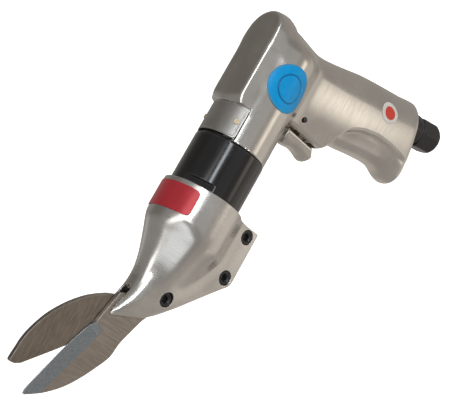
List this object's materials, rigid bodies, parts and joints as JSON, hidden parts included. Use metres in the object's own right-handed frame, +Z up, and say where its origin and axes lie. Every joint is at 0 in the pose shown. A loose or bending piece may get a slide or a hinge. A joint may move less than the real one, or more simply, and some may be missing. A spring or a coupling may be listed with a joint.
{
  "type": "pneumatic metal shear",
  "caption": "Pistol-grip air shear: a vane motor and planetary gears drive a pivoting blade against a fixed blade, with a trigger valve and air inlet in the handle.",
  "frame": {"origin": "centre of the flat top pad, in the mid-plane", "axes": "-X along the motor axis towards the blades, +Z up away from the handle, -Y the side with the screw heads"},
  "size_m": [0.2875, 0.0512, 0.2046],
  "materials": {
    "cast_aluminium": "buffed casting",
    "satin_plate": "satin sheet",
    "black_steel": "polished black oxide",
    "bright_steel": "ground",
    "tool_steel": "ground tool steel",
    "brass": "turned",
    "blue_badge": "gloss",
    "red_label": "satin foil",
    "white_label": "satin foil",
    "rubber": "matt",
    "vane_composite": "woven phenolic"
  },
  "bodies": {
    "tool_body": {"cylinder_liner": "bright_steel", "exhaust_grille": "black_steel", "fixed_blade": "tool_steel", "fixed_blade_dowel": "bright_steel", "front_end_plate": "bright_steel", "front_rotor_bearing": "bright_steel", "gear_case": "black_steel", "grip_sticker": "white_label", "head_housing": "cast_aluminium", "head_label": "red_label", "head_screw_1": "black_steel", "head_screw_2": "black_steel", "head_screw_3": "black_steel", "inlet_bushing": "black_steel", "inlet_strainer": "brass", "motor_housing": "cast_aluminium", "name_plate": "satin_plate", "name_plate_screw_1": "bright_steel", "name_plate_screw_2": "bright_steel", "pivot_bushing": "bright_steel", "rear_end_plate": "bright_steel", "rear_rotor_bearing": "bright_steel", "ring_gear": "bright_steel", "side_badge": "blue_badge", "spindle_bearing": "bright_steel", "trigger_pin": "bright_steel", "valve_bushing": "brass"},
    "carrier": {"planet_carrier": "bright_steel", "cam_bearing": "bright_steel", "planet_pin_1": "bright_steel", "planet_pin_2": "bright_steel", "planet_pin_3": "bright_steel"},
    "rotor_body": {"rotor": "bright_steel"},
    "shear_blade": {"moving_blade": "tool_steel"},
    "trigger_body": {"trigger": "cast_aluminium"},
    "valve": {"valve_stem": "bright_steel", "valve_seal": "rubber", "valve_spring": "bright_steel"},
    "planet_1": {"planet_gear_1": "bright_steel"},
    "planet_2": {"planet_gear_2": "bright_steel"},
    "planet_3": {"planet_gear_3": "bright_steel"},
    "vane_body_1": {"vane_1": "vane_composite"},
    "vane_body_2": {"vane_2": "vane_composite"},
    "vane_body_3": {"vane_3": "vane_composite"},
    "vane_body_4": {"vane_4": "vane_composite"},
    "vane_body_5": {"vane_5": "vane_composite"}
  },
  "joints": [
    {"name": "carrier_spin", "type": "hinge", "parent": "tool_body", "child": "carrier", "pos_m": [-0.084, 0, -0.0236], "axis": [1, 0, 0], "continuous": true},
    {"name": "rotor_spin", "type": "hinge", "parent": "tool_body", "child": "rotor_body", "pos_m": [-0.018, 0, -0.0236], "axis": [1, 0, 0], "continuous": true},
    {"name": "planet_1_spin", "type": "hinge", "parent": "carrier", "child": "planet_1", "pos_m": [-0.072, 0.01013, -0.0236], "axis": [1, 0, 0], "continuous": true},
    {"name": "planet_2_spin", "type": "hinge", "parent": "carrier", "child": "planet_2", "pos_m": [-0.072, -0.00506, -0.01483], "axis": [1, 0, 0], "continuous": true},
    {"name": "planet_3_spin", "type": "hinge", "parent": "carrier", "child": "planet_3", "pos_m": [-0.072, -0.00506, -0.03237], "axis": [1, 0, 0], "continuous": true},
    {"name": "vane_1_slide", "type": "slide", "parent": "rotor_body", "child": "vane_body_1", "axis": [0, 0, 1], "range_m": [0, 0.002]},
    {"name": "vane_2_slide", "type": "slide", "parent": "rotor_body", "child": "vane_body_2", "axis": [0, -0.9511, 0.309], "range_m": [0, 0.002]},
    {"name": "vane_3_slide", "type": "slide", "parent": "rotor_body", "child": "vane_body_3", "axis": [0, -0.5878, -0.809], "range_m": [0, 0.002]},
    {"name": "vane_4_slide", "type": "slide", "parent": "rotor_body", "child": "vane_body_4", "axis": [0, 0.5878, -0.809], "range_m": [0, 0.002]},
    {"name": "vane_5_slide", "type": "slide", "parent": "rotor_body", "child": "vane_body_5", "axis": [0, 0.9511, 0.309], "range_m": [0, 0.002]},
    {"name": "blade_swing", "type": "hinge", "parent": "tool_body", "child": "shear_blade", "pos_m": [-0.1492, 0, -0.0289], "axis": [0, 1, 0], "range_deg": [-2, 2]},
    {"name": "trigger_slide", "type": "slide", "parent": "tool_body", "child": "trigger_body", "axis": [1, 0, 0], "range_m": [0, 0.004]},
    {"name": "valve_slide", "type": "slide", "parent": "tool_body", "child": "valve", "axis": [1, 0, 0], "range_m": [0, 0.004]}
  ],
  "couplings": [
    {"joint": "rotor_spin", "follows": "carrier_spin", "ratio": 6},
    {"joint": "planet_1_spin", "follows": "carrier_spin", "ratio": -2.5},
    {"joint": "planet_2_spin", "follows": "carrier_spin", "ratio": -2.5},
    {"joint": "planet_3_spin", "follows": "carrier_spin", "ratio": -2.5},
    {"joint": "valve_slide", "follows": "trigger_slide", "ratio": 1}
  ]
}
